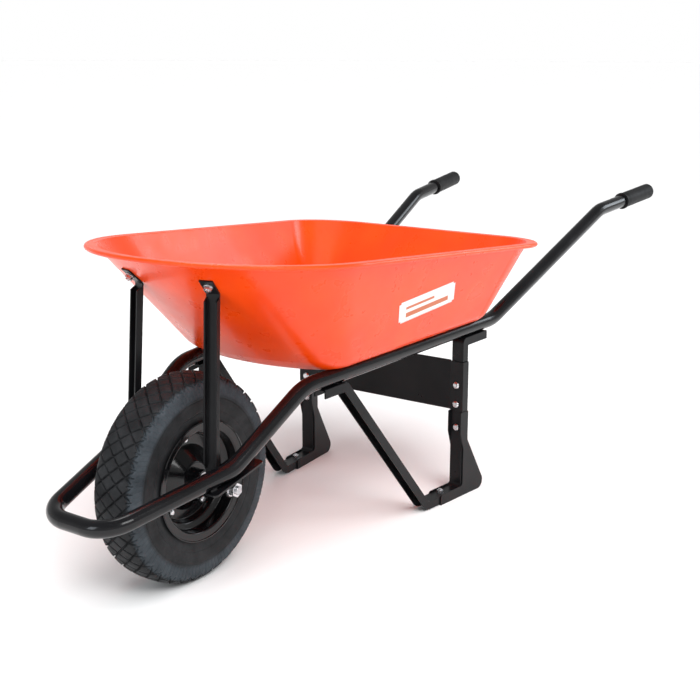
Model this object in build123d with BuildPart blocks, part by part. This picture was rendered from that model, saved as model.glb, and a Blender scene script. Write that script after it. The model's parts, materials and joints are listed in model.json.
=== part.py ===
"""Wheelbarrow: bent tube frame, pressed tray, pneumatic wheel and two channel legs.

Millimetres, +Z up, +X towards the handles.  Side-view stations are measured from the
wheel axle and moved by `ax`, so that the whole object is centred on X = 0.
"""

import os
from math import atan, atan2, cos, degrees, radians, sin, sqrt, tan

from build123d import *

os.makedirs("parts", exist_ok=True)

# ---------------------------------------------------------------- driving dimensions
# wheel
tyre_r = 200.0
tyre_half_w = 48.5
bead_r = 102.0
rim_flange_r = 114.0
rim_half_w = 46.0
sheet_rim = 2.5

# frame tube
tube_d = 31.8
tube_wall = 2.0
tube_r = tube_d / 2
splay = 0.1045  # sideways spread of the rails per unit length
rail_y0 = 140.0  # half distance between the rails at the axle

# side view of the rail centre line: (station from axle, height)
nose_x, nose_z = -273.0, 197.0
nose_half = 74.0
bend_ab = (-23.0, 248.6)
bend_bc = (164.7, 362.1)
bend_cd = (783.7, 386.8)
bend_de = (1251.0, 588.8)
tube_end = (1500.0, 613.7)
grip_tip_x = 1509.0
bend_r_nose = 62.0
bend_r_ab = 80.0
bend_r_bc = 110.0
bend_r_cd = 110.0
bend_r_de = 100.0

# everything is measured from the axle and then centred
ax = -((nose_x - tube_r) + grip_tip_x) / 2

# tray
rim_tip, rim_bow_r, rim_front_r = -112.0, 330.0, 292.0
rim_rear, rim_rear_r = 882.5, 161.0
rim_half, rim_flare = 289.4, 0.0564  # half width at the axle and its growth per unit
rim_z0, rim_slope = 624.2, -0.0693
lip_w = 20.0
lip_drop = 0.7
bead_d = 9.0
floor_tip, floor_bow_r, floor_front_r = 184.0, 420.0, 72.0
floor_rear, floor_rear_r = 738.0, 62.0
floor_half, floor_flare = 166.5, splay
floor_round_in, floor_round_up = 13.0, 26.0
round_steps = 6
tray_t = 1.6

# grips
grip_len = 146.0
grip_d = 39.0

# legs
leg_w = 30.0
leg_depth = 18.0
leg_t = 3.0
foot_web_z = 20.52
leg_tab_front = 208.0
leg_knee_top = 274.0
leg_foot_front = 541.0
leg_upright = 657.0
leg_tab_rear = 745.0
leg_bends = [12.0, 12.0, 10.0, 12.0]

# leg shoes
shoe_t = 2.5
shoe_front = 582.0
shoe_heel = 753.0
shoe_heel_r = 18.0
shoe_knee, shoe_top = 130.0, 198.0
foot_bolt_x = 602.0
shoe_bolt_z = 160.0

# cross plate
plate_low, plate_high = 199.0, 314.0
plate_tab_low, plate_tab_high = 200.0, 312.0
plate_t = 3.0
plate_flange = 12.0
plate_bolt_z = (214.0, 258.0)

# axle, its blocks and the brackets that carry them
axle_r = 8.0
axle_z = tyre_r
axle_half = 133.0
block_in, block_out = 92.0, 114.0
block_ear = 56.0
block_ear_low = 19.4
block_boss_r = 16.0
block_bolt_u = 40.0
block_bolt_r = 5.0
bracket_front, bracket_back = -78.0, 58.0
bracket_in, bracket_out = 83.0, 152.0
bracket_t = 4.0

# hub and ball bearings
hub_half = 48.0
hub_r = 21.0
hub_bore = 15.5
bearing_r = 17.5
bearing_mid = 42.15
bearing_half = 5.65
ball_r = 3.0
ball_circle = 12.75
ball_count = 9

# braces
brace_w = 26.0
brace_depth = 13.0
brace_t = 3.0
brace_toe = 12.0  # foot tab ahead of its bolt
brace_reach = 18.0  # web behind the foot bolt
brace_head = 16.0  # top tab above the wall bolt
brace_drop = 24.0  # bend below the wall bolt
brace_bend_r = 8.0
brace_share = 0.8  # share of the tray's height where the brace is bolted
brace_place = 0.05  # share of the front corner's turn where it is bolted
brace_bolt_r = 4.0

fit_gap = 0.05  # radial clearance of a bolt or sleeve that does not turn
thread_gap = 0.02


# ---------------------------------------------------------------- helpers
def at(x, y, z):
    """Point at a station measured from the axle."""
    return Vector(ax + x, y, z)


def rail_y(x):
    return rail_y0 + splay * x


def line_z(a, b, x):
    """Height of the line through two stations at a third one."""
    return a[1] + (b[1] - a[1]) * (x - a[0]) / (b[0] - a[0])


def rail_c(x):
    """Rail centre height on the run that carries the tray."""
    return line_z(bend_bc, bend_cd, x)


def mirrored(part):
    """The same piece on the other side of the barrow."""
    return mirror(part, about=Plane.XZ)


def axial(plane):
    """Plane through a fastener's axis: local x is radial, local y is along the axis."""
    return Plane(origin=plane.origin, x_dir=plane.x_dir, z_dir=-plane.y_dir)


def bolt(seat, shank_r, length, head_r, head_h):
    """Domed bolt: the head sits on the seat plane, the shank runs against its normal."""
    with BuildPart() as piece:
        with BuildSketch(axial(seat)):
            with BuildLine():
                Polyline((0, -length), (shank_r, -length), (shank_r, 0), (head_r, 0))
                Line((head_r, 0), (head_r, head_h * 0.25))
                ThreePointArc(
                    (head_r, head_h * 0.25),
                    (head_r * 0.78, head_h * 0.78),
                    (head_r * 0.35, head_h),
                )
                Polyline((head_r * 0.35, head_h), (0, head_h), (0, -length))
            make_face()
        revolve(axis=Axis(seat.origin, seat.z_dir))
    return piece.part


def nut(seat, across, height, bore_r):
    """Hex nut standing on the seat plane."""
    with BuildPart() as piece:
        with BuildSketch(seat):
            RegularPolygon(radius=across / 2, side_count=6, major_radius=False)
            Circle(bore_r, mode=Mode.SUBTRACT)
        extrude(amount=height)
    return piece.part


def washer(seat, outer_r, bore_r, thick):
    with BuildPart() as piece:
        with BuildSketch(seat):
            Circle(outer_r)
            Circle(bore_r, mode=Mode.SUBTRACT)
        extrude(amount=thick)
    return piece.part


def hole(seat, radius, depth):
    """Plain round cutter reaching the same depth both ways from the seat plane."""
    with BuildPart() as piece:
        with BuildSketch(seat):
            Circle(radius)
        extrude(amount=depth, both=True)
    return piece.part


def parallel(points, distance):
    """Corner points of the line parallel to an open polyline, to the left of it."""
    normals = []
    for a, b in zip(points, points[1:]):
        d = (Vector(*b) - Vector(*a)).normalized()
        normals.append(Vector(-d.Y, d.X))
    before = [normals[0]] + normals
    after = normals + [normals[-1]]
    return [
        Vector(*p) + (m + n) * (distance / (1 + m.dot(n)))
        for p, m, n in zip(points, before, after)
    ]


def bend_line(points, radii, distance):
    """Parallel of a bent line, with every bend radius grown or shrunk to suit."""
    corners = parallel(points, distance)
    grown = []
    for r, a, b, c in zip(radii, corners, corners[1:], corners[2:]):
        left_turn = (b - a).cross(c - b).Z > 0
        grown.append(max(r - distance if left_turn else r + distance, 1.0))
    FilletPolyline(*corners, radius=grown)
    return corners


def band(points, radii, near, far):
    """Outline of bent sheet seen edge on, between two parallels of a line."""
    a = bend_line(points, radii, near)
    b = bend_line(points, radii, far)
    Line(a[0], b[0])
    Line(a[-1], b[-1])


def strip(plane, points, radii, near, far, low, high):
    """Bent strip of sheet: its edge outline in the plane, its width along the normal."""
    with BuildPart() as piece:
        with BuildSketch(plane.offset(low)):
            with BuildLine():
                band(points, radii, near, far)
            make_face()
        extrude(amount=high - low)
    return piece.part


def slab(plane, *points, thick):
    """Flat polygon in a plane, given a thickness along the normal."""
    with BuildPart() as piece:
        with BuildSketch(plane):
            with BuildLine():
                Polyline(*points, close=True)
            make_face()
        extrude(amount=thick)
    return piece.part


def save(builder, name):
    builder.part.label = name
    export_step(builder.part, f"parts/{name}.step")


# ---------------------------------------------------------------- planes on the rail
rail_angle = degrees(atan(splay))
run = cos(radians(rail_angle))


def rail_plane(side):
    """Vertical plane through a rail: x is the distance along it, y is up."""
    d = Vector(run, side * sin(radians(rail_angle)), 0)
    n = Vector(side * sin(radians(rail_angle)), -run, 0)
    return Plane(origin=at(0, side * rail_y0, 0), x_dir=d, z_dir=n)


def on_rail(x, z, side, up):
    """Plane at a rail station with its normal pointing up (or down) square to the run."""
    p = rail_plane(side)
    slope = (bend_cd[1] - bend_bc[1]) / (bend_cd[0] - bend_bc[0])
    tilt = Vector(-slope * run, -slope * side * sin(radians(rail_angle)), 1).normalized()
    return Plane(origin=p.from_local_coords(Vector(x / run, z, 0)), x_dir=p.z_dir, z_dir=tilt * up)


# tray bolt stations: one over each leg tab
tray_bolt_x = (256.0, 700.0)
tray_bolt_r = 4.0
tray_bolt_seats = [
    on_rail(x, rail_c(x) + tube_r, side, 1) for side in (-1, 1) for x in tray_bolt_x
]

# ---------------------------------------------------------------- frame tube
right = [
    at(tube_end[0], -rail_y(tube_end[0]), tube_end[1]),
    at(bend_de[0], -rail_y(bend_de[0]), bend_de[1]),
    at(bend_cd[0], -rail_y(bend_cd[0]), bend_cd[1]),
    at(bend_bc[0], -rail_y(bend_bc[0]), bend_bc[1]),
    at(bend_ab[0], -rail_y(bend_ab[0]), bend_ab[1]),
    at(nose_x, -nose_half, nose_z),
]
left = [Vector(p.X, -p.Y, p.Z) for p in reversed(right)]
bend_radii = [bend_r_de, bend_r_cd, bend_r_bc, bend_r_ab, bend_r_nose]

with BuildPart() as frame_tube:
    with BuildLine() as tube_path:
        FilletPolyline(*right, *left, radius=bend_radii + bend_radii[::-1])
    with BuildSketch(Plane(origin=right[0], z_dir=right[1] - right[0])):
        Circle(tube_r)
        Circle(tube_r - tube_wall, mode=Mode.SUBTRACT)
    sweep(path=tube_path.wires()[0])
    for seat in tray_bolt_seats:
        add(hole(seat, tray_bolt_r + 0.2, tube_d + 2), mode=Mode.SUBTRACT)
save(frame_tube, "frame_tube")

# ---------------------------------------------------------------- grips
grip_dir = (right[0] - right[1]).normalized()
grip_start = right[0] - grip_dir * (grip_len - 9.0)
with BuildPart() as grip_right:
    grip_seat = Plane(origin=grip_start, z_dir=grip_dir)
    with BuildSketch(axial(grip_seat)):
        with BuildLine():
            Polyline(
                (tube_r + fit_gap, 0),
                (grip_d / 2 + 1.5, 0),
                (grip_d / 2 + 1.5, 5),
                (grip_d / 2 - 1.0, 9),
                (grip_d / 2, 20),
                (grip_d / 2, grip_len - 8),
            )
            ThreePointArc(
                (grip_d / 2, grip_len - 8),
                (grip_d / 2 - 2.5, grip_len - 2.3),
                (grip_d / 2 - 8.5, grip_len),
            )
            Polyline(
                (grip_d / 2 - 8.5, grip_len),
                (4, grip_len),
                (4, grip_len - 8.8),
                (tube_r + fit_gap, grip_len - 8.8),
                (tube_r + fit_gap, 0),
            )
        make_face()
    revolve(axis=Axis(grip_seat.origin, grip_seat.z_dir))
save(grip_right, "grip_right")
with BuildPart() as grip_left:
    add(mirrored(grip_right.part))
save(grip_left, "grip_left")


# ---------------------------------------------------------------- tray
def front_corner(tip, bow_r, front_r, half, spread):
    """Centre of the front corner and the bow angle where the corner takes over."""
    base = half - front_r / cos(atan(spread))
    mid_x = tip + bow_r
    qa = 1 + spread**2
    qb = 2 * (base * spread - mid_x)
    qc = mid_x**2 + base**2 - (bow_r - front_r) ** 2
    x = (-qb - sqrt(qb**2 - 4 * qa * qc)) / (2 * qa)
    y = base + spread * x
    return x, y, atan2(y, mid_x - x)


def tray_outline(tip, bow_r, front_r, rear, rear_r, half, spread, inset=0.0):
    """Closed plan outline: bowed front, round corners and sides that flare."""
    a = atan(spread)
    tip, bow_r, front_r = tip + inset, bow_r - inset, front_r - inset
    rear, rear_r, half = rear - inset, rear_r - inset, half - inset / cos(a)
    fx, fy, turn = front_corner(tip, bow_r, front_r, half, spread)
    bow = (tip + bow_r * (1 - cos(turn)), bow_r * sin(turn))
    side = (fx - front_r * sin(a), fy + front_r * cos(a))
    half_turn = (turn + radians(90) + a) / 2
    knee = (fx - front_r * cos(half_turn), fy + front_r * sin(half_turn))
    # rear corner
    corner_y = half + spread * rear
    t = rear_r * tan((radians(90) - a) / 2)
    end = (rear - t * cos(a), corner_y - t * sin(a))
    heel_y = corner_y - t
    heel_turn = (radians(90) + a) / 2
    hip = (rear - rear_r * (1 - cos(heel_turn)), heel_y + rear_r * sin(heel_turn))
    ThreePointArc((bow[0], bow[1]), (tip, 0), (bow[0], -bow[1]))
    ThreePointArc((bow[0], -bow[1]), (knee[0], -knee[1]), (side[0], -side[1]))
    Line((side[0], -side[1]), (end[0], -end[1]))
    ThreePointArc((end[0], -end[1]), (hip[0], -hip[1]), (rear, -heel_y))
    Line((rear, -heel_y), (rear, heel_y))
    ThreePointArc((rear, heel_y), hip, end)
    Line(end, side)
    ThreePointArc(side, knee, bow)


floor_slope = (bend_cd[1] - bend_bc[1]) / (bend_cd[0] - bend_bc[0])
floor_z0 = rail_c(0) + tube_r * sqrt(1 + floor_slope**2) + 0.02
floor = (floor_tip, floor_bow_r, floor_front_r, floor_rear, floor_rear_r, floor_half)
floor += (floor_flare, floor_z0, floor_slope)
rim = (rim_tip, rim_bow_r, rim_front_r, rim_rear, rim_rear_r, rim_half, rim_flare)
wall_top = (
    rim_tip + lip_w,
    rim_bow_r - lip_w,
    rim_front_r - lip_w,
    rim_rear - lip_w,
    rim_rear_r - lip_w,
    rim_half - lip_w / cos(atan(rim_flare)),
    rim_flare,
    rim_z0,
    rim_slope,
)
tray_depth = rim_z0 - floor_z0
wall_end = 0.995  # share of the height where the wall meets the lip


def wall_shape(share):
    """Outline, height and slope of the tray wall at a share of its height."""
    return [a + (b - a) * share for a, b in zip(floor, wall_top)]


def sloped(z0, slope):
    """Plane across the barrow whose height changes with the station."""
    n = Vector(-slope, 0, 1).normalized()
    return Plane(origin=at(0, 0, z0), x_dir=Vector(1, 0, slope).normalized(), z_dir=n)


def bowl(skin, top):
    """Solid bowl: skin is the sheet taken off its outside, top its last level."""
    levels = []
    for step in range(round_steps + 1):
        turn = radians(90 * step / round_steps)
        up = skin + (floor_round_up - skin) * (1 - cos(turn))
        inset = skin + (floor_round_in - skin) * (1 - sin(turn))
        levels.append((up / tray_depth, inset))
    with BuildPart() as solid:
        for share, inset in levels + [(top, skin)]:
            *plan, z0, slope = wall_shape(share)
            with BuildSketch(sloped(z0, slope)):
                with BuildLine():
                    tray_outline(*plan, inset)
                make_face()
        loft(ruled=True)
    return solid.part


def rim_ring(r, half_side):
    """Solid inside (or outside) line of the round bead of radius r."""
    with BuildPart() as solid:
        for step in range(6):
            turn = radians(15 + 30 * step)
            with BuildSketch(sloped(rim_z0 - bead_d / 2 - r * cos(turn), rim_slope)):
                with BuildLine():
                    tray_outline(*rim, bead_d / 2 + half_side * r * sin(turn))
                make_face()
        loft(ruled=True)
    return solid.part


def rolled_edge(r):
    """Bead of radius r that follows the rim."""
    return rim_ring(r, -1) - rim_ring(r, 1)


def corner_point(share, place, side):
    """Point on the front corner of a tray level; place is the share of its turn."""
    tip, bow_r, front_r, rear, rear_r, half, spread, z0, slope = wall_shape(share)
    x, y, turn = front_corner(tip, bow_r, front_r, half, spread)
    turn += (radians(90) + atan(spread) - turn) * place
    flat = Vector(x - front_r * cos(turn), side * (y + front_r * sin(turn)), 0)
    return sloped(z0, slope).from_local_coords(flat)


def wall_point(share, place, side):
    """Point on the straight part of the front wall, outside the sheet."""
    low_share = floor_round_up / tray_depth
    low = corner_point(low_share, place, side)
    high = corner_point(wall_end, place, side)
    return low + (high - low) * ((share - low_share) / (wall_end - low_share))


def wall_plane(side):
    """Plane on the outside of the front wall where a brace is bolted, facing out."""
    here = wall_point(brace_share, brace_place, side)
    up = wall_point(brace_share + 0.02, brace_place, side) - here
    across = wall_point(brace_share, brace_place + 0.02, side) - here
    n = up.cross(across).normalized()
    if n.Z > 0:
        n = n * -1
    return Plane(origin=here, x_dir=up.normalized(), z_dir=n)


wall_seats = [wall_plane(side) for side in (-1, 1)]

with BuildPart() as tray:
    add(bowl(0.0, wall_end))
    add(bowl(tray_t, 1.02), mode=Mode.SUBTRACT)
    with BuildSketch(sloped(rim_z0 - lip_drop - tray_t, rim_slope)):
        with BuildLine():
            tray_outline(*rim, bead_d / 2)
        make_face()
        with BuildLine():
            tray_outline(*rim, lip_w + tray_t / 2)
        make_face(mode=Mode.SUBTRACT)
    extrude(amount=tray_t)
    add(rolled_edge(bead_d / 2))
    add(rolled_edge(bead_d / 2 - tray_t), mode=Mode.SUBTRACT)
    for seat in tray_bolt_seats:
        add(hole(seat, tray_bolt_r + 0.2, 12), mode=Mode.SUBTRACT)
    for seat in wall_seats:
        add(hole(seat, brace_bolt_r + 0.2, 12), mode=Mode.SUBTRACT)
save(tray, "tray")

with BuildPart() as rim_wire:
    add(rolled_edge(bead_d / 2 - tray_t - 0.1))
save(rim_wire, "rim_wire")

# ---------------------------------------------------------------- legs
touch = 0.02  # gap left between pieces that are clamped together
leg_plane = rail_plane(-1)
leg_s = leg_upright / run
tube_low = tube_r * sqrt(1 + floor_slope**2) + touch


def under_rail(x):
    """Point on the underside of the rail, in its own plane."""
    return (x / run, rail_c(x) - tube_low)


leg_path = [
    under_rail(leg_tab_front),
    under_rail(leg_knee_top),
    (leg_foot_front / run, foot_web_z),
    (leg_s, foot_web_z),
    under_rail(leg_upright),
    under_rail(leg_tab_rear),
]


def upright_seat(back, z, facing):
    """Plane square to the upright, a distance behind its front face."""
    here = leg_plane.from_local_coords(Vector(leg_s + back, z, 0))
    return Plane(origin=here, x_dir=(0, 0, 1), z_dir=leg_plane.x_dir * facing)


def foot_seat(z, facing):
    here = leg_plane.from_local_coords(Vector(foot_bolt_x / run, z, 0))
    return Plane(origin=here, x_dir=leg_plane.x_dir, z_dir=(0, 0, facing))


upright_bolt_z = (shoe_bolt_z,) + plate_bolt_z
leg_bolt_r = 4.0
hole_play = 0.2

with BuildPart() as leg_right:
    add(strip(leg_plane, leg_path, leg_bends, 0, -leg_t, -leg_w / 2, leg_w / 2))
    for low in (-leg_w / 2, leg_w / 2 - leg_t):
        add(strip(leg_plane, leg_path, leg_bends, 0, -leg_depth, low, low + leg_t))
    for seat in tray_bolt_seats[:2]:
        add(hole(seat, tray_bolt_r + hole_play, 45), mode=Mode.SUBTRACT)
    for z in upright_bolt_z:
        add(hole(upright_seat(0, z, -1), leg_bolt_r + hole_play, 8), mode=Mode.SUBTRACT)
    add(hole(foot_seat(foot_web_z, 1), leg_bolt_r + hole_play, 8), mode=Mode.SUBTRACT)
save(leg_right, "leg_right")
with BuildPart() as leg_left:
    add(mirrored(leg_right.part))
save(leg_left, "leg_left")

# ---------------------------------------------------------------- leg shoes
shoe_back = leg_s + leg_depth + touch + shoe_t
shoe_path = [
    (shoe_front / run, 0),
    (shoe_heel / run, 0),
    (shoe_back, shoe_knee),
    (shoe_back, shoe_top),
]
shoe_side = leg_w / 2 + 0.1
nut_h = 6.5
thread_out = 2.5  # bolt end beyond its nut


def countersunk(seat, shank_r, length, head_r, grow):
    """Flat head bolt sunk flush in a sheet whose face is the seat plane."""
    with BuildPart() as piece:
        with BuildSketch(axial(seat)):
            with BuildLine():
                Polyline(
                    (0, -length),
                    (shank_r + grow, -length),
                    (shank_r + grow, -shoe_t),
                    (head_r + grow, -0.9),
                    (head_r + grow, -0.4 + grow * 3),
                    (0, -0.4 + grow * 3),
                    close=True,
                )
            make_face()
        revolve(axis=Axis(seat.origin, seat.z_dir))
    return piece.part


with BuildPart() as leg_shoe_right:
    bends = [shoe_heel_r, 12.0]
    wide = shoe_side + shoe_t
    add(strip(leg_plane, shoe_path, bends, 0, shoe_t, -wide, wide))
    for low in (-wide, shoe_side):
        with BuildSketch(leg_plane.offset(low)):
            with BuildLine():
                edge = FilletPolyline(
                    (leg_s - 20, 0),
                    shoe_path[1],
                    shoe_path[2],
                    shoe_path[3],
                    (leg_s - 7, shoe_top),
                    (leg_s - 7, shoe_knee + 20),
                    (leg_s + 5, shoe_knee - 20),
                    (leg_s + 5, 24),
                    (shoe_front / run, 24),
                    (shoe_front / run, 0),
                    (leg_s - 30, 0),
                    radius=[shoe_heel_r, 12.0, 1.0, 3.0, 10.0, 10.0, 8.0, 8.0, 1.0],
                )
                Line(edge @ 1, edge @ 0)
            make_face()
        extrude(amount=shoe_t)
    back_seat = upright_seat(leg_depth, shoe_bolt_z, 1)
    add(hole(back_seat, leg_bolt_r + hole_play, 8), mode=Mode.SUBTRACT)
    add(countersunk(foot_seat(0, -1), leg_bolt_r, 8, 7.0, hole_play), mode=Mode.SUBTRACT)
save(leg_shoe_right, "leg_shoe_right")
with BuildPart() as leg_shoe_left:
    add(mirrored(leg_shoe_right.part))
save(leg_shoe_left, "leg_shoe_left")

# ---------------------------------------------------------------- cross plate
plan_low = Plane(
    origin=leg_plane.origin + Vector(0, 0, plate_tab_low), x_dir=leg_plane.x_dir, z_dir=(0, 0, 1)
)
tab_in = 17.0
tab_front = leg_s - touch - plate_t
tab_side = leg_w / 2 + 0.1
plate_corner = plan_low.from_local_coords(Vector(tab_front, tab_in, 0))
plate_x = plate_corner.X - ax
plate_half = -plate_corner.Y + 0.25
with BuildPart() as plate_end:
    add(
        slab(
            plan_low,
            (tab_front, tab_in),
            (tab_front, -tab_side - plate_t),
            (leg_s + 17, -tab_side - plate_t),
            (leg_s + 17, -tab_side),
            (leg_s - touch, -tab_side),
            (leg_s - touch, tab_in),
            thick=plate_tab_high - plate_tab_low,
        )
    )
with BuildPart() as cross_plate:
    plate_path = [(plate_x, plate_high), (plate_x, plate_low), (plate_x + plate_flange, plate_low)]
    side_view = Plane(origin=at(0, 0, 0), x_dir=(1, 0, 0), z_dir=(0, -1, 0))
    add(strip(side_view, plate_path, [6.0], 0, plate_t, -plate_half, plate_half))
    add(plate_end.part)
    add(mirrored(plate_end.part))
    for z in plate_bolt_z:
        cutter = hole(upright_seat(0, z, -1), leg_bolt_r + hole_play, 8)
        add(cutter, mode=Mode.SUBTRACT)
        add(mirrored(cutter), mode=Mode.SUBTRACT)
save(cross_plate, "cross_plate")

# ---------------------------------------------------------------- leg fasteners
with BuildPart() as plate_bolts:
    for z in plate_bolt_z:
        seat = upright_seat(-touch * 2 - plate_t, z, -1)
        piece = bolt(seat, leg_bolt_r, plate_t + leg_t + nut_h + thread_out, 8.0, 4.6)
        add(piece)
        add(mirrored(piece))
save(plate_bolts, "plate_bolts")
with BuildPart() as plate_nuts:
    for z in plate_bolt_z:
        piece = nut(upright_seat(leg_t + touch, z, 1), 13, nut_h, leg_bolt_r + thread_gap)
        add(piece)
        add(mirrored(piece))
save(plate_nuts, "plate_nuts")
shoe_bolt_len = leg_depth + shoe_t + nut_h + thread_out
with BuildPart() as leg_bolts:
    piece = bolt(upright_seat(-touch, shoe_bolt_z, -1), leg_bolt_r, shoe_bolt_len, 8.0, 4.6)
    add(piece)
    add(mirrored(piece))
save(leg_bolts, "leg_bolts")
with BuildPart() as leg_nuts:
    seat = upright_seat(leg_depth + shoe_t + touch * 2, shoe_bolt_z, 1)
    piece = nut(seat, 13, nut_h, leg_bolt_r + thread_gap)
    add(piece)
    add(mirrored(piece))
save(leg_nuts, "leg_nuts")
with BuildPart() as foot_bolts:
    piece = countersunk(foot_seat(0, -1), leg_bolt_r, foot_web_z + nut_h + thread_out, 7.0, 0)
    add(piece)
    add(mirrored(piece))
save(foot_bolts, "foot_bolts")
with BuildPart() as foot_nuts:
    piece = nut(foot_seat(foot_web_z + touch, 1), 13, nut_h, leg_bolt_r + thread_gap)
    add(piece)
    add(mirrored(piece))
save(foot_nuts, "foot_nuts")

# ---------------------------------------------------------------- tray fasteners
with BuildPart() as tray_bolts:
    for seat in tray_bolt_seats:
        stack = tray_t + tube_d + leg_t + nut_h + thread_out
        add(bolt(seat.offset(tray_t + 0.1), tray_bolt_r, stack + 0.1, 7.0, 4.0))
save(tray_bolts, "tray_bolts")
with BuildPart() as tray_nuts:
    for seat in tray_bolt_seats:
        under = seat.offset(-tube_d - leg_t - 0.15)
        down = Plane(origin=under.origin, x_dir=under.x_dir, z_dir=-under.z_dir)
        add(nut(down, 13, nut_h, tray_bolt_r + thread_gap))
save(tray_nuts, "tray_nuts")

# ---------------------------------------------------------------- axle brackets
axle_at = at(0, 0, axle_z)
nose_tilt = atan((bend_ab[1] - nose_z) / (bend_ab[0] - nose_x))
bracket_x = Vector(cos(nose_tilt), 0, sin(nose_tilt))
bracket_up = Vector(-sin(nose_tilt), 0, cos(nose_tilt))
rail_over_axle = line_z((nose_x, nose_z), bend_ab, 0) - axle_z
bracket_top = rail_over_axle * cos(nose_tilt) - tube_r - touch


def bracket_level(up):
    """Plane parallel to the bracket plates, a distance above the axle."""
    return Plane(origin=axle_at + bracket_up * up, x_dir=bracket_x, z_dir=bracket_up)


# the brace stands in the upright plane that holds the wall's normal
wall_seat = wall_seats[0]
brace_in = Vector(-wall_seat.z_dir.X, -wall_seat.z_dir.Y, 0).normalized()
foot_level = bracket_level(bracket_top)
foot_x = (foot_level.origin - bracket_x * block_bolt_u).X
to_foot = foot_x - wall_seat.origin.X
block_bolt_y = wall_seat.origin.Y + to_foot * brace_in.Y / brace_in.X
foot_at = foot_level.from_local_coords(Vector(-block_bolt_u, block_bolt_y, 0))
block_holes = [(side * block_bolt_u, block_bolt_y) for side in (-1, 1)]


def block_seat(u, up, facing):
    here = bracket_level(up).from_local_coords(Vector(u, block_bolt_y, 0))
    return Plane(origin=here, x_dir=bracket_x, z_dir=bracket_up * facing)


with BuildPart() as axle_bracket_right:
    with BuildSketch(bracket_level(bracket_top - bracket_t)):
        with Locations(
            ((bracket_front + bracket_back) / 2, -(bracket_in + bracket_out) / 2)
        ):
            RectangleRounded(bracket_back - bracket_front, bracket_out - bracket_in, 8)
        with Locations(*block_holes):
            Circle(block_bolt_r + hole_play, mode=Mode.SUBTRACT)
    extrude(amount=bracket_t)
save(axle_bracket_right, "axle_bracket_right")
with BuildPart() as axle_bracket_left:
    add(mirrored(axle_bracket_right.part))
save(axle_bracket_left, "axle_bracket_left")

# fillet welds beside the rail, where it lies straight on the bracket
rail_dir = (right[4] - right[5]).normalized()
weld_x = -78.0
weld_len = 13.0
weld_y = line_z((nose_x, nose_half), (bend_ab[0], rail_y(bend_ab[0])), weld_x)
weld_at = at(weld_x, -weld_y, line_z((nose_x, nose_z), bend_ab, weld_x))
weld_at = weld_at - bracket_up * tube_r
with BuildPart() as bracket_welds:
    across = rail_dir.cross(bracket_up).normalized()
    weld_plane = Plane(origin=weld_at, x_dir=across, z_dir=rail_dir)
    middle = weld_at + bracket_up * tube_r + rail_dir * (weld_len / 2)
    tube_middle = Plane(origin=middle, z_dir=rail_dir)
    up_sign = 1 if weld_plane.y_dir.dot(bracket_up) > 0 else -1
    for side in (-1, 1):
        bead = slab(
            weld_plane,
            (side * 3.5, 0),
            (side * 12.5, 0),
            (side * 11.0, up_sign * 5.0),
            thick=weld_len,
        )
        bead = bead - hole(tube_middle, tube_r + touch, weld_len)
        add(bead)
        add(mirrored(bead))
save(bracket_welds, "bracket_welds")

# ---------------------------------------------------------------- axle blocks
block_plane = Plane(origin=axle_at, x_dir=bracket_x, z_dir=(0, -1, 0))
block_top = bracket_top - bracket_t - touch
with BuildPart() as axle_block_right:
    with BuildSketch(block_plane.offset(block_in)):
        with BuildLine():
            outline = FilletPolyline(
                (0, block_top),
                (-block_ear, block_top),
                (-block_ear, block_ear_low),
                (-block_boss_r - 9, block_ear_low),
                (-block_boss_r, 6),
                (-block_boss_r, -block_boss_r),
                (block_boss_r, -block_boss_r),
                (block_boss_r, 6),
                (block_boss_r + 9, block_ear_low),
                (block_ear, block_ear_low),
                (block_ear, block_top),
                (1, block_top),
                radius=[1.5, 3, 5, 5, 15.9, 15.9, 5, 5, 3, 1.5],
            )
            Line(outline @ 1, outline @ 0)
        make_face()
        Circle(axle_r + fit_gap, mode=Mode.SUBTRACT)
    extrude(amount=block_out - block_in)
    for side in (-1, 1):
        seat = block_seat(side * block_bolt_u, block_top, 1)
        add(hole(seat, block_bolt_r + hole_play, 20), mode=Mode.SUBTRACT)
save(axle_block_right, "axle_block_right")
with BuildPart() as axle_block_left:
    add(mirrored(axle_block_right.part))
save(axle_block_left, "axle_block_left")

# ---------------------------------------------------------------- braces
brace_plane = Plane(origin=foot_at, x_dir=brace_in, z_dir=brace_in.cross(Vector(0, 0, 1)))
wall_at = brace_plane.to_local_coords(wall_seat.origin)
wall_n = brace_plane.to_local_coords(wall_seat.origin + wall_seat.z_dir) - wall_at
wall_up = Vector(wall_n.Y, -wall_n.X)
brace_base = Vector(wall_at.X, wall_at.Y) + Vector(wall_n.X, wall_n.Y) * touch * 3
heel_rise = brace_reach * tan(nose_tilt) + 1.2
brace_path = [
    Vector(brace_reach, heel_rise),
    brace_base - wall_up * brace_drop,
    brace_base + wall_up * brace_head,
]
brace_path = [(p.X, p.Y) for p in brace_path]
foot_in = (brace_in - bracket_up * brace_in.dot(bracket_up)).normalized()
foot_plane = Plane(origin=foot_at + bracket_up * touch, x_dir=foot_in, z_dir=bracket_up)
column = (Vector(*brace_path[1]) - Vector(*brace_path[0])).normalized()
flange_low = Vector(*brace_path[0]) + column * 10
flange_high = Vector(*brace_path[1]) - column * 5
front_way = Vector(-column.Y, column.X)
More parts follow.
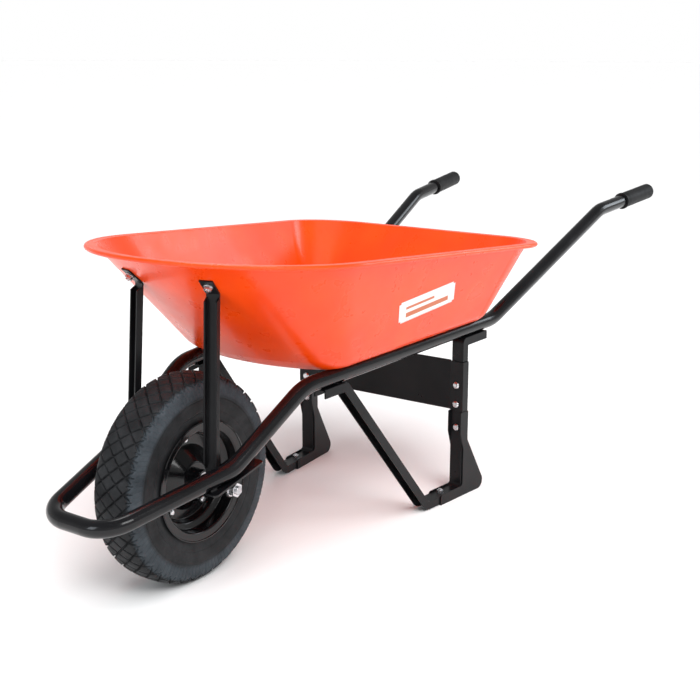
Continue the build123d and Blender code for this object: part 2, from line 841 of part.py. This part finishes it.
with BuildPart() as front_brace_right:
    foot_reach = brace_reach / foot_in.dot(brace_in)
    foot_shape = [
        (-brace_toe, -brace_w / 2),
        (foot_reach, -brace_w / 2),
        (foot_reach, brace_w / 2),
        (-brace_toe, brace_w / 2),
    ]
    add(slab(foot_plane, *foot_shape, thick=brace_t))
    add(strip(brace_plane, brace_path, [brace_bend_r], 0, brace_t, -brace_w / 2, brace_w / 2))
    corners = (
        flange_low,
        flange_high,
        flange_high - column * 10 + front_way * brace_depth,
        flange_low + column * 10 + front_way * brace_depth,
    )
    corners = [(p.X, p.Y) for p in corners]
    for low in (-brace_w / 2, brace_w / 2 - brace_t):
        add(slab(brace_plane.offset(low), *corners, thick=brace_t))
    foot_hole = block_seat(-block_bolt_u, bracket_top, 1)
    add(hole(foot_hole, block_bolt_r + hole_play, 8), mode=Mode.SUBTRACT)
    add(hole(wall_seat, brace_bolt_r + hole_play, 8), mode=Mode.SUBTRACT)
save(front_brace_right, "front_brace_right")
with BuildPart() as front_brace_left:
    add(mirrored(front_brace_right.part))
save(front_brace_left, "front_brace_left")

# ---------------------------------------------------------------- bracket and brace fasteners
block_nut_h = 8.0
with BuildPart() as bracket_bolts:
    for u, extra in ((-block_bolt_u, brace_t + touch * 2), (block_bolt_u, touch)):
        top = bracket_top + extra
        length = top - block_ear_low + block_nut_h + thread_out
        piece = bolt(block_seat(u, top, 1), block_bolt_r, length, 9.0, 6.0)
        add(piece)
        add(mirrored(piece))
save(bracket_bolts, "bracket_bolts")
with BuildPart() as bracket_nuts:
    for u in (-block_bolt_u, block_bolt_u):
        seat = block_seat(u, block_ear_low - touch, -1)
        piece = nut(seat, 16, block_nut_h, block_bolt_r + thread_gap)
        add(piece)
        add(mirrored(piece))
save(bracket_nuts, "bracket_nuts")

wall_sheet = 2.0  # tray sheet measured square to its front wall
with BuildPart() as brace_bolts:
    inner_seat = Plane(
        origin=wall_seat.origin - wall_seat.z_dir * (wall_sheet + 0.15),
        x_dir=wall_seat.x_dir,
        z_dir=-wall_seat.z_dir,
    )
    piece = bolt(inner_seat, brace_bolt_r, wall_sheet + brace_t + 2 + nut_h + thread_out, 8.0, 4.6)
    add(piece)
    add(mirrored(piece))
save(brace_bolts, "brace_bolts")
with BuildPart() as brace_washers:
    piece = washer(wall_seat.offset(brace_t + touch * 5), 8.5, brace_bolt_r + 0.15, 1.6)
    add(piece)
    add(mirrored(piece))
save(brace_washers, "brace_washers")
with BuildPart() as brace_nuts:
    seat = wall_seat.offset(brace_t + 1.6 + touch * 6)
    piece = nut(seat, 13, nut_h, brace_bolt_r + thread_gap)
    add(piece)
    add(mirrored(piece))
save(brace_nuts, "brace_nuts")

# ---------------------------------------------------------------- wheel
spin = Axis(axle_at, (0, 1, 0))
section = Plane(origin=axle_at, x_dir=(0, -1, 0), z_dir=(-1, 0, 0))


def turned(*points):
    """Body of revolution about the axle from (distance across, radius) corners."""
    with BuildPart() as piece:
        with BuildSketch(section):
            with BuildLine():
                Polyline(*points, close=True)
            make_face()
        revolve(axis=spin)
    return piece.part


def sleeve(a, b, inner, outer):
    return turned((a, inner), (b, inner), (b, outer), (a, outer))


def wheel_seat(across, radius, angle, facing):
    """Plane square to the axle at a place on the wheel."""
    spoke = Vector(cos(angle), 0, sin(angle)) * radius
    return Plane(
        origin=axle_at + Vector(0, -across, 0) + spoke, x_dir=(0, 0, 1), z_dir=(0, -facing, 0)
    )


def both_ways(points):
    """A half outline and its mirror image, as one run of points."""
    return [(-u, r) for u, r in points] + [(u, r) for u, r in reversed(points) if u > 0]


tyre_wall = [(30, 197), (43.5, 186), (tyre_half_w, 163), (48.3, 145), (45.8, 126), (42.8, 115)]
crown_slope = 0.202
tyre_inside = both_ways([(33, 104), (38.5, 118), (42.6, 148), (41, 170), (31, 184), (0, 190.5)])
bead_low = 101.3
bead_side = 42.8
bead_toe = 33.0
with BuildPart() as tyre:
    with BuildSketch(section):
        with BuildLine():
            ThreePointArc((-tyre_wall[0][0], tyre_wall[0][1]), (0, tyre_r), tyre_wall[0])
            for side in (-1, 1):
                wall = [(side * u, r) for u, r in tyre_wall]
                Spline(*wall, tangents=((side, -crown_slope), (-side * 0.25, -1)))
                Polyline(
                    (side * bead_side, tyre_wall[-1][1]),
                    (side * bead_side, bead_low),
                    (side * bead_toe, bead_low),
                    (side * bead_toe, tyre_inside[0][1]),
                )
            Spline(*tyre_inside)
        make_face()
    revolve(axis=spin)
save(tyre, "tyre")

tube_outside = both_ways(
    [(31, 103), (32.2, 104.6), (37.7, 118.4), (41.7, 148), (40.1, 169.4), (30.4, 182.9), (0, 189.3)]
)
with BuildPart() as inner_tube:
    with BuildSketch(section):
        with BuildLine():
            Polyline(*tube_outside, close=True)
        make_face()
        offset(amount=-1.6, mode=Mode.SUBTRACT)
    revolve(axis=spin)
save(inner_tube, "inner_tube")

# rim: two pressed halves bolted back to back; (distance across, radius) of the sheet's middle
rim_line = [
    (24.5, hub_r + touch),
    (24.5, 31.0),
    (sheet_rim / 2 + touch, 62.0),
    (sheet_rim / 2 + touch, 83.5),
    (15.0, 87.0),
    (20.0, 99.5),
    (45.0, 99.5),
    (46.2, 114.0),
    (49.0, 115.0),
]
rim_bends = [8.0, 8.0, 3.0, 4.0, 4.0, 3.0, 1.5]
rim_bolt_r = 4.0
rim_bolt_circle = 73.0
rim_bolt_count = 5
rim_bolt_angles = [radians(90 + 360 * k / rim_bolt_count) for k in range(rim_bolt_count)]
valve_angle = radians(90 + 180 / rim_bolt_count)
valve_across = 10.5
valve_r = 3.0
valve_spoke = Vector(cos(valve_angle), 0, sin(valve_angle))


def valve_plane(radius):
    """Plane across the valve; its normal points away from the axle."""
    here = axle_at + Vector(0, valve_across, 0) + valve_spoke * radius
    return Plane(origin=here, x_dir=(0, 1, 0), z_dir=valve_spoke)


with BuildPart() as rim_half_right:
    with BuildSketch(section):
        with BuildLine():
            band(rim_line, rim_bends, -sheet_rim / 2, sheet_rim / 2)
        make_face()
    revolve(axis=spin)
    for angle in rim_bolt_angles:
        seat = wheel_seat(0, rim_bolt_circle, angle, 1)
        add(hole(seat, rim_bolt_r + hole_play, 6), mode=Mode.SUBTRACT)
save(rim_half_right, "rim_half_right")
with BuildPart() as rim_half_left:
    add(mirrored(rim_half_right.part))
    add(hole(valve_plane(86), valve_r + hole_play, 6), mode=Mode.SUBTRACT)
save(rim_half_left, "rim_half_left")

rim_stack = sheet_rim + touch * 2
with BuildPart() as rim_bolts:
    for angle in rim_bolt_angles:
        seat = wheel_seat(rim_stack, rim_bolt_circle, angle, 1)
        length = 2 * rim_stack + nut_h + thread_out
        add(bolt(seat, rim_bolt_r, length, 7.0, 4.0))
save(rim_bolts, "rim_bolts")
with BuildPart() as rim_nuts:
    for angle in rim_bolt_angles:
        seat = wheel_seat(-rim_stack, rim_bolt_circle, angle, -1)
        add(nut(seat, 13, nut_h, rim_bolt_r + thread_gap))
save(rim_nuts, "rim_nuts")

with BuildPart() as valve_stem:
    add(washer(valve_plane(64), valve_r, 0.8, 36))
    add(washer(valve_plane(98.5), 6.0, 0.8, 2.5))
save(valve_stem, "valve_stem")
with BuildPart() as valve_cap:
    add(washer(valve_plane(61.5), 4.4, valve_r + fit_gap, 11))
    add(washer(valve_plane(60), 4.4, 0.5, 1.6))
save(valve_cap, "valve_cap")

# ---------------------------------------------------------------- hub, bearings and axle
seat_depth = bearing_mid - bearing_half - 0.2
with BuildPart() as hub:
    add(
        turned(
            (-hub_half, bearing_r),
            (-hub_half, hub_r),
            (hub_half, hub_r),
            (hub_half, bearing_r),
            (seat_depth, bearing_r),
            (seat_depth, hub_bore),
            (-seat_depth, hub_bore),
            (-seat_depth, bearing_r),
        )
    )
save(hub, "hub")


def race(middle, half, inner, outer, groove):
    """Bearing ring with a ball groove."""
    with BuildPart() as ring:
        with BuildSketch(section):
            with Locations((middle, (inner + outer) / 2)):
                Rectangle(2 * half, outer - inner)
            with Locations((middle, ball_circle)):
                Circle(groove, mode=Mode.SUBTRACT)
        revolve(axis=spin)
    return ring.part


inner_half = bearing_half + 0.8
with BuildPart() as bearing_outer_rings:
    for side in (-1, 1):
        add(race(side * bearing_mid, bearing_half, 14.7, bearing_r - fit_gap, ball_r + 0.08))
save(bearing_outer_rings, "bearing_outer_rings")
with BuildPart() as bearing_inner_rings:
    for side in (-1, 1):
        add(race(side * bearing_mid, inner_half, axle_r + fit_gap, 10.8, ball_r + 0.35))
save(bearing_inner_rings, "bearing_inner_rings")
with BuildPart() as bearing_balls:
    for side in (-1, 1):
        for k in range(ball_count):
            angle = radians(360 * k / ball_count)
            spoke = Vector(cos(angle), 0, sin(angle)) * ball_circle
            with Locations(axle_at + spoke + Vector(0, side * bearing_mid, 0)):
                Sphere(ball_r)
save(bearing_balls, "bearing_balls")

with BuildPart() as axle:
    add(
        turned(
            (-axle_half, 0),
            (-axle_half, axle_r - 1),
            (1 - axle_half, axle_r),
            (axle_half - 1, axle_r),
            (axle_half, axle_r - 1),
            (axle_half, 0),
        )
    )
save(axle, "axle")
inner_end = bearing_mid + inner_half
inner_start = bearing_mid - inner_half
with BuildPart() as axle_spacers:
    add(sleeve(-inner_start + touch, inner_start - touch, axle_r + fit_gap, 10.0))
    for side in (-1, 1):
        a = side * (inner_end + touch)
        b = side * (block_in - touch)
        add(sleeve(a, b, axle_r + fit_gap, 11.0))
save(axle_spacers, "axle_spacers")
washer_t = 2.5
with BuildPart() as axle_washers:
    for side in (-1, 1):
        a = side * (block_out + touch)
        b = side * (block_out + touch + washer_t)
        add(sleeve(a, b, axle_r + 0.15, 14.0))
save(axle_washers, "axle_washers")
with BuildPart() as axle_nuts:
    for side in (-1, 1):
        seat = wheel_seat(side * (block_out + washer_t + 2 * touch), 0, 0, side)
        add(nut(seat, 24, 12, axle_r + thread_gap))
save(axle_nuts, "axle_nuts")
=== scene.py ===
"""Studio scene of a wheelbarrow: detailed tyre, label, materials, lights and camera."""

import math

import bpy
import numpy as np
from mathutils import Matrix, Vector
from mathutils.bvhtree import BVHTree
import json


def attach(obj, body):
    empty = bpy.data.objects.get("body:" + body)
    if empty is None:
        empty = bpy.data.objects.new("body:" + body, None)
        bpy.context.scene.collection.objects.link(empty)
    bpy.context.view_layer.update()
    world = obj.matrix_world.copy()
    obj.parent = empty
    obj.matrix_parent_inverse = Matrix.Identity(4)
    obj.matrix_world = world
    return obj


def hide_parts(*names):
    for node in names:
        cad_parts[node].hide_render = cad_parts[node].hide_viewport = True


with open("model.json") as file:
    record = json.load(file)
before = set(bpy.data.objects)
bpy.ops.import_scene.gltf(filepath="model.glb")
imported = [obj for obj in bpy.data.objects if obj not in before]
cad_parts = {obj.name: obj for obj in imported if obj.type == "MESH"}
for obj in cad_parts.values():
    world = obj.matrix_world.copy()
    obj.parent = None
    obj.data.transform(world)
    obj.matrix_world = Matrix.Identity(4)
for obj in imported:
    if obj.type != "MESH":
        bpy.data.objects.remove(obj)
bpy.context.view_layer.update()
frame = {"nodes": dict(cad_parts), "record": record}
nodes = frame["nodes"]

# place of the axle in the shared frame, and the tyre's radius in millimetres
AXLE_X = -0.61005
AXLE_Z = 0.2
TYRE_R = 200.0
RIB_PITCH = 0.0045


# ------------------------------------------------------------------ materials
class Tree:
    """Small helper that adds linked shader nodes to a material."""

    def __init__(self, name):
        self.mat = bpy.data.materials.new(name)
        self.mat.use_nodes = True
        self.t = self.mat.node_tree
        self.shader = self.t.nodes["Principled BSDF"]

    def add(self, kind, inputs=None, **props):
        n = self.t.nodes.new(kind)
        for k, v in props.items():
            setattr(n, k, v)
        for k, v in (inputs or {}).items():
            if isinstance(v, bpy.types.NodeSocket):
                self.t.links.new(v, n.inputs[k])
            else:
                n.inputs[k].default_value = v
        return n

    def math(self, op, a, b=0.0):
        return self.add("ShaderNodeMath", {0: a, 1: b}, operation=op).outputs[0]

    def remap(self, value, lo, hi, a, b):
        n = self.add("ShaderNodeMapRange", {0: value, 1: lo, 2: hi, 3: a, 4: b})
        return n.outputs[0]

    def drift(self, value, a, b):
        """Spread the middle of a noise's range over a to b."""
        return self.remap(value, 0.3, 0.7, a, b)

    def mix(self, factor, a, b):
        n = self.add("ShaderNodeMix", {0: factor, 6: a, 7: b}, data_type="RGBA")
        return n.outputs[2]

    def noise(self, scale, detail=4.0, rough=0.55):
        place = self.add("ShaderNodeTexCoord").outputs["Object"]
        ins = {"Vector": place, "Scale": scale, "Detail": detail, "Roughness": rough}
        return self.add("ShaderNodeTexNoise", ins).outputs["Fac"]

    def link(self, value, name):
        self.t.links.new(value, self.shader.inputs[name])

    def bump(self, height, distance, strength=1.0, edge=0.0):
        ins = {"Height": height, "Distance": distance, "Strength": strength}
        if edge:
            ins["Normal"] = self.add("ShaderNodeBevel", {"Radius": edge}, samples=4).outputs[0]
        self.link(self.add("ShaderNodeBump", ins).outputs[0], "Normal")


def painted(name, deep, light, rough, coat, peel, gloss, dust):
    """Powder coat: slight tone drift, orange peel and faint dull specks."""
    m = Tree(name)
    tone = m.noise(7.0, 3.0)
    worn = m.noise(90.0, 5.0, 0.7)
    colour = m.mix(m.remap(tone, 0.35, 0.65, 0.0, 1.0), deep, light)
    scuff = m.remap(worn, 0.62, 0.8, 0.0, dust)
    m.link(m.mix(scuff, colour, (0.35, 0.34, 0.33, 1)), "Base Color")
    rough_now = m.math("ADD", m.drift(m.noise(22.0), rough - 0.05, rough + 0.06), scuff)
    m.link(rough_now, "Roughness")
    m.shader.inputs["Coat Weight"].default_value = coat
    m.shader.inputs["Coat Roughness"].default_value = 0.08
    m.shader.inputs["Specular IOR Level"].default_value = gloss
    m.bump(m.noise(peel, 2.0, 0.4), 0.00018, 0.35, 0.0009)
    return m.mat


def bare_metal(name, colour, rough, grain):
    """Plated or plain metal with cloudy patches and a fine grain."""
    m = Tree(name)
    cloud = m.noise(160.0, 5.0, 0.65)
    tone = [c * 0.72 for c in colour[:3]] + [1]
    m.link(m.mix(m.remap(cloud, 0.3, 0.75, 0.0, 1.0), tone, colour), "Base Color")
    m.link(m.drift(m.noise(grain), rough - 0.08, rough + 0.12), "Roughness")
    m.shader.inputs["Metallic"].default_value = 1.0
    m.bump(m.noise(grain * 1.7, 3.0), 0.00012, 0.4, 0.0006)
    return m.mat


def soft_rubber(name, dark, light, rough, ribs=False):
    """Moulded rubber or plastic, mottled, with fine ribs across it where asked."""
    m = Tree(name)
    patch = m.remap(m.noise(30.0, 6.0, 0.7), 0.35, 0.7, 0.0, 1.0)
    m.link(m.mix(patch, dark, light), "Base Color")
    m.link(m.drift(m.noise(60.0), rough - 0.08, rough + 0.1), "Roughness")
    m.shader.inputs["Specular IOR Level"].default_value = 0.25
    height = m.noise(900.0, 2.0)
    if ribs:
        place = m.add("ShaderNodeTexCoord").outputs["Object"]
        across = m.add("ShaderNodeSeparateXYZ", {0: place}).outputs[0]
        wave = m.math("SINE", m.math("MULTIPLY", across, 2 * math.pi / RIB_PITCH))
        height = m.math("ADD", m.math("MULTIPLY", height, 0.3), m.math("MULTIPLY", wave, 0.35))
    m.bump(height, 0.0003, 0.5, 0.0007)
    return m.mat


def tyre_rubber():
    """Dark rubber, dusty in patches, with a paler band round the shoulder that is a painted
    sheen.
    """
    m = Tree("tyre_rubber")
    place = m.add("ShaderNodeTexCoord").outputs["Object"]
    xyz = m.add("ShaderNodeSeparateXYZ", {0: place})
    dx = m.math("SUBTRACT", xyz.outputs[0], AXLE_X)
    dz = m.math("SUBTRACT", xyz.outputs[2], AXLE_Z)
    square = m.math("ADD", m.math("MULTIPLY", dx, dx), m.math("MULTIPLY", dz, dz))
    radius = m.math("SQRT", square)
    # painted sheen: a paler, bluer ring round the shoulder, all the way round the wheel, in
    # place of the highlight there
    sheen_rise = m.remap(radius, 0.158, 0.166, 0.0, 1.0)
    band = m.math("MULTIPLY", sheen_rise, m.remap(radius, 0.188, 0.191, 1.0, 0.0))
    patch = m.remap(m.noise(26.0, 6.0, 0.7), 0.35, 0.7, 0.0, 1.0)
    dark = m.mix(patch, (0.009, 0.0095, 0.0105, 1), (0.022, 0.023, 0.025, 1))
    # pale: the painted sheen colour of the shoulder band
    pale = m.mix(patch, (0.026, 0.032, 0.038, 1), (0.052, 0.062, 0.072, 1))
    m.link(m.mix(band, dark, pale), "Base Color")
    m.link(m.drift(m.noise(70.0, 4.0), 0.5, 0.68), "Roughness")
    m.shader.inputs["Specular IOR Level"].default_value = 0.2
    m.bump(m.noise(700.0, 3.0, 0.6), 0.0003, 0.5)
    return m.mat


def label_film():
    """Plain printed film: a pale panel with two bars."""
    m = Tree("label_film")
    uv = m.add("ShaderNodeTexCoord").outputs["UV"]
    xyz = m.add("ShaderNodeSeparateXYZ", {0: uv})
    u, v = xyz.outputs[0], xyz.outputs[1]

    def inside(value, lo, hi):
        above = m.math("GREATER_THAN", value, lo)
        return m.math("MULTIPLY", above, m.math("LESS_THAN", value, hi))

    bar = m.math("MULTIPLY", inside(u, 0.12, 0.88), inside(v, 0.2, 0.42))
    thin = m.math("MULTIPLY", inside(u, 0.12, 0.62), inside(v, 0.58, 0.7))
    ink = m.math("MAXIMUM", bar, thin)
    faint = m.noise(40.0, 4.0)
    paper = m.mix(faint, (0.8, 0.79, 0.77, 1), (0.88, 0.87, 0.85, 1))
    m.link(m.mix(ink, paper, (0.55, 0.13, 0.04, 1)), "Base Color")
    m.link(m.drift(m.noise(80.0), 0.3, 0.42), "Roughness")
    m.bump(m.noise(500.0, 2.0), 0.0001, 0.3)
    return m.mat


TRAY = ((0.84, 0.05, 0.001, 1), (0.93, 0.066, 0.001, 1))
FRAME = ((0.002, 0.002, 0.0025, 1), (0.005, 0.005, 0.006, 1))
LEGS = ((0.003, 0.003, 0.0035, 1), (0.007, 0.007, 0.008, 1))
GRIP = ((0.006, 0.006, 0.0065, 1), (0.014, 0.014, 0.0145, 1))
MOULDED = ((0.012, 0.012, 0.013, 1), (0.025, 0.025, 0.026, 1))
FINISH = {
    "tray_paint": painted("tray_paint", *TRAY, 0.3, 0.15, 420.0, 0.35, 0.01),
    "frame_paint": painted("frame_paint", *FRAME, 0.2, 0.25, 380.0, 0.25, 0.02),
    "leg_paint": painted("leg_paint", *LEGS, 0.32, 0.0, 420.0, 0.2, 0.02),
    "grip_rubber": soft_rubber("grip_rubber", *GRIP, 0.55, ribs=True),
    "tyre_rubber": tyre_rubber(),
    "zinc": bare_metal("zinc", (0.78, 0.78, 0.8, 1), 0.26, 220.0),
    "steel": bare_metal("steel", (0.55, 0.55, 0.57, 1), 0.3, 300.0),
    "steel_wire": bare_metal("steel_wire", (0.4, 0.4, 0.42, 1), 0.4, 300.0),
    "brass": bare_metal("brass", (0.7, 0.52, 0.2, 1), 0.3, 260.0),
    "plastic": soft_rubber("plastic", *MOULDED, 0.4),
}
for entry in frame["record"]["subparts"]:
    mesh = nodes[entry["node"]].data
    mesh.materials.clear()
    mesh.materials.append(FINISH[entry["material_slot"]])


# ------------------------------------------------------------------ helpers
def new_mesh(name, verts, faces, material):
    """Smooth-shaded mesh object, linked to the scene."""
    mesh = bpy.data.meshes.new(name)
    mesh.from_pydata(verts, [], faces)
    mesh.polygons.foreach_set("use_smooth", [True] * len(mesh.polygons))
    mesh.materials.append(material)
    mesh.update()
    o = bpy.data.objects.new(name, mesh)
    bpy.context.scene.collection.objects.link(o)
    return o


def smooth_step(x, lo, hi):
    t = np.clip((x - lo) / (hi - lo), 0.0, 1.0)
    return t * t * (3 - 2 * t)


def through(points, per_span=24):
    """Catmull-Rom curve through the points."""
    p = np.array([points[0]] + list(points) + [points[-1]], float)
    out = []
    for k in range(1, len(p) - 2):
        for t in np.linspace(0, 1, per_span, endpoint=False):
            a, b, c, d = p[k - 1], p[k], p[k + 1], p[k + 2]
            square = (2 * a - 5 * b + 4 * c - d) * t**2
            cube = (3 * b - a - 3 * c + d) * t**3
            out.append(0.5 * (2 * b + (c - a) * t + square + cube))
    return np.array(out + [p[-2]])


# ------------------------------------------------------------------ tyre with its tread
def build_tyre():
    """Barrow tyre: diamond blocks from crossing grooves, slit shoulders, ringed sidewalls."""
    half = [(42.8, 114), (44.4, 119), (46.6, 128), (48.2, 144), (48.4, 163)]
    half += [(43.5, 186), (30, 197), (0, TYRE_R)]
    outer = through([(-u, r) for u, r in half] + [(u, r) for u, r in half[-2::-1]])
    step = np.linalg.norm(np.diff(outer, axis=0), axis=1)
    length = np.concatenate([[0], np.cumsum(step)])
    count = 230
    a = np.linspace(0, length[-1], count)
    u = np.interp(a, length, outer[:, 0])
    r = np.interp(a, length, outer[:, 1])
    a = a - length[-1] / 2
    du, dr = np.gradient(u, a), np.gradient(r, a)
    nu, nr = -dr, du  # outward normal in the section

    turns = 1200
    theta = np.linspace(0, 2 * math.pi, turns, endpoint=False)
    around = theta * TYRE_R
    A, S = np.meshgrid(a, around)
    blocks = 40
    pitch = 2 * math.pi * TYRE_R / blocks
    cut, cut_w = 4.4, 4.2
    no_repeat = 400.0

    def groove(phase, period, width, soft=0.9):
        """1 in a groove of this width at each period, 0 between them."""
        d = np.abs((phase / period + 0.5) % 1.0 - 0.5) * period
        return 1 - smooth_step(d, width / 2 - soft / 2, width / 2 + soft / 2)

    one = groove(S + A * 0.9, pitch, cut_w)
    two = groove(S - A * 0.9, pitch, cut_w)
    tread = 1 - smooth_step(np.abs(A), 46.5, 48.5)
    depth = cut * np.maximum(one, two) * tread
    # open notches where the grooves run out over the edge of the tread
    edge = smooth_step(np.abs(A), 39, 42) * (1 - smooth_step(np.abs(A), 50, 53))
    depth = np.maximum(depth, 3.4 * edge * groove(S, pitch / 2, 3.6))
    # fine slits on the shoulder and shallow rings on the sidewall
    band = smooth_step(np.abs(A), 52, 54) * (1 - smooth_step(np.abs(A), 71, 74))
    depth = np.maximum(depth, 0.9 * band * groove(S + np.abs(A) * 0.25, pitch / 3, 1.3, 0.8))
    depth = np.maximum(depth, 0.8 * groove(np.abs(A) - 76.5, no_repeat, 1.8, 0.9))
    depth = depth - 0.9 * groove(np.abs(A) - 108.0, no_repeat, 4.0, 2.0)
    depth = np.maximum(depth, 0.7 * groove(np.abs(A) - 101.0, no_repeat, 1.6, 0.9))

    U = u[None, :] - nu[None, :] * depth
    R = r[None, :] - nr[None, :] * depth
    # bead and inside of the carcass close the section
    inner = [(42.8, 101.6), (33, 101.6), (33, 104), (38.5, 118), (42.6, 148)]
    inner += [(41, 170), (31, 184), (0, 190.5)]
    inner = np.array(inner + [(-x, y) for x, y in inner[-2::-1]])
    U = np.hstack([U, np.tile(inner[:, 0], (turns, 1))])
    R = np.hstack([R, np.tile(inner[:, 1], (turns, 1))])
    cols = U.shape[1]
    cos, sin = np.cos(theta)[:, None], np.sin(theta)[:, None]
    verts = np.stack([AXLE_X + R * cos / 1000, -U / 1000, AXLE_Z + R * sin / 1000], -1)
    verts = verts.reshape(-1, 3)
    i, j = np.meshgrid(np.arange(turns), np.arange(cols), indexing="ij")
    i2, j2 = (i + 1) % turns, (j + 1) % cols
    faces = np.stack([i * cols + j, i2 * cols + j, i2 * cols + j2, i * cols + j2], -1)
    faces = faces.reshape(-1, 4)
    return new_mesh("tyre_tread", verts.tolist(), faces.tolist(), FINISH["tyre_rubber"])


tyre = build_tyre()
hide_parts("tyre")
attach(tyre, "wheel")


# ------------------------------------------------------------------ label on the near side wall
def build_label():
    """Thin film laid on the tray's side; corners are (distance from axle, height)."""
    corners = [(0.375, 0.452), (0.550, 0.473), (0.527, 0.521), (0.352, 0.500)]
    lift, film = 0.0005, 0.0003
    wall = BVHTree.FromObject(nodes["tray"], bpy.context.evaluated_depsgraph_get())
    wide, high = 30, 12
    verts, faces, uvs = [], [], []
    for j in range(high + 1):
        for i in range(wide + 1):
            s, t = i / wide, j / high
            place = [
                corners[0][k] * (1 - s) * (1 - t)
                + corners[1][k] * s * (1 - t)
                + corners[2][k] * s * t
                + corners[3][k] * (1 - s) * t
                for k in range(2)
            ]
            start = Vector((AXLE_X + place[0], -1.0, place[1]))
            hit, normal, _, _ = wall.ray_cast(start, Vector((0, 1, 0)))
            if normal.y > 0:
                normal = -normal
            verts.append(hit + normal * lift)
            uvs.append((s, t))
    row = wide + 1
    for j in range(high):
        for i in range(wide):
            if i in (0, wide - 1) and j in (0, high - 1):
                continue  # the film's corners are cut off
            low, up = j * row + i, (j + 1) * row + i
            faces.append((low, low + 1, up + 1, up))
    o = new_mesh("side_label", verts, faces, label_film())
    layer = o.data.uv_layers.new(name="film")
    for loop in o.data.loops:
        layer.data[loop.index].uv = uvs[loop.vertex_index]
    thick = o.modifiers.new("film", "SOLIDIFY")
    thick.thickness = film
    thick.offset = 0.0
    return o


label = build_label()
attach(label, "frame")

# ------------------------------------------------------------------ floor, light and camera
floor = bpy.data.meshes.new("floor")
FAR = 150.0
floor_corners = [(-FAR, -FAR, 0), (FAR, -FAR, 0), (FAR, FAR, 0), (-FAR, FAR, 0)]
floor.from_pydata(floor_corners, [], [(0, 1, 2, 3)])
ground = bpy.data.objects.new("floor", floor)
bpy.context.scene.collection.objects.link(ground)
pale = Tree("floor")
shade = pale.mix(pale.noise(1.5), (0.89, 0.89, 0.89, 1), (0.92, 0.92, 0.92, 1))
pale.link(shade, "Base Color")
pale.link(pale.drift(pale.noise(30.0), 0.65, 0.8), "Roughness")
floor.materials.append(pale.mat)

# the studio is white to the eye but lights the object more softly
HORIZON, OVERHEAD, SEEN = 0.62, 0.3, 1.0
world = bpy.data.worlds.new("studio")
bpy.context.scene.world = world
world.use_nodes = True
sky = world.node_tree
back = sky.nodes["Background"]
back.inputs[0].default_value = (1, 1, 1, 1)
path = sky.nodes.new("ShaderNodeLightPath")
level = sky.nodes.new("ShaderNodeMapRange")
level.inputs[4].default_value = SEEN
aim = sky.nodes.new("ShaderNodeTexCoord")
height = sky.nodes.new("ShaderNodeSeparateXYZ")
dome = sky.nodes.new("ShaderNodeMapRange")
dome.inputs[1].default_value = 0.15
dome.inputs[2].default_value = 0.6
dome.inputs[3].default_value = HORIZON
dome.inputs[4].default_value = OVERHEAD
sky.links.new(aim.outputs["Generated"], height.inputs[0])
sky.links.new(height.outputs[2], dome.inputs[0])
sky.links.new(dome.outputs[0], level.inputs[3])
sky.links.new(path.outputs["Is Camera Ray"], level.inputs[0])
sky.links.new(level.outputs[0], back.inputs[1])

sun = bpy.data.lights.new("sun", "SUN")
sun.energy = 3.1
sun.angle = math.radians(50)
sun_lamp = bpy.data.objects.new("sun", sun)
bpy.context.scene.collection.objects.link(sun_lamp)
sun_lamp.visible_glossy = False
sun_lamp.rotation_euler = Vector((0.35, 0.5, -1.0)).to_track_quat("-Z", "Y").to_euler()


def softbox(name, place, aim, wide, high, power, tint=(1, 1, 1)):
    """Rectangular area light that faces a point."""
    lamp = bpy.data.lights.new(name, "AREA")
    lamp.shape = "RECTANGLE"
    lamp.size, lamp.size_y = wide, high
    lamp.energy = power
    lamp.color = tint
    o = bpy.data.objects.new(name, lamp)
    bpy.context.scene.collection.objects.link(o)
    o.location = place
    o.rotation_euler = (Vector(aim) - Vector(place)).to_track_quat("-Z", "Y").to_euler()


softbox("key", (-1.6, -3.2, 2.6), (-0.1, 0, 0.4), 1.6, 1.2, 45)
COOL = (0.86, 0.93, 1.0)
softbox("side", (3.4, -2.2, 2.0), (0.1, 0, 0.4), 1.0, 1.6, 26, COOL)
softbox("top", (0.2, 0.8, 3.2), (0, 0, 0.4), 1.6, 1.0, 22)
softbox("nose", (-3.6, 0.6, 1.6), (-0.6, 0, 0.3), 0.9, 1.4, 18, COOL)

FOCAL_SHARE = 1163 / 700  # focal length over the picture's width
EYE = Vector((AXLE_X - 1.512, -1.436, 0.969))
LOOK = Vector((AXLE_X + 0.541, 0.0, 0.332))
camera_data = bpy.data.cameras.new("camera")
camera_data.sensor_width = 36.0
camera_data.lens = camera_data.sensor_width * FOCAL_SHARE
camera = bpy.data.objects.new("camera", camera_data)
bpy.context.scene.collection.objects.link(camera)
camera.location = EYE
camera.rotation_euler = (LOOK - EYE).to_track_quat("-Z", "Y").to_euler()
bpy.context.scene.camera = camera
bpy.context.scene.view_settings.view_transform = "Standard"
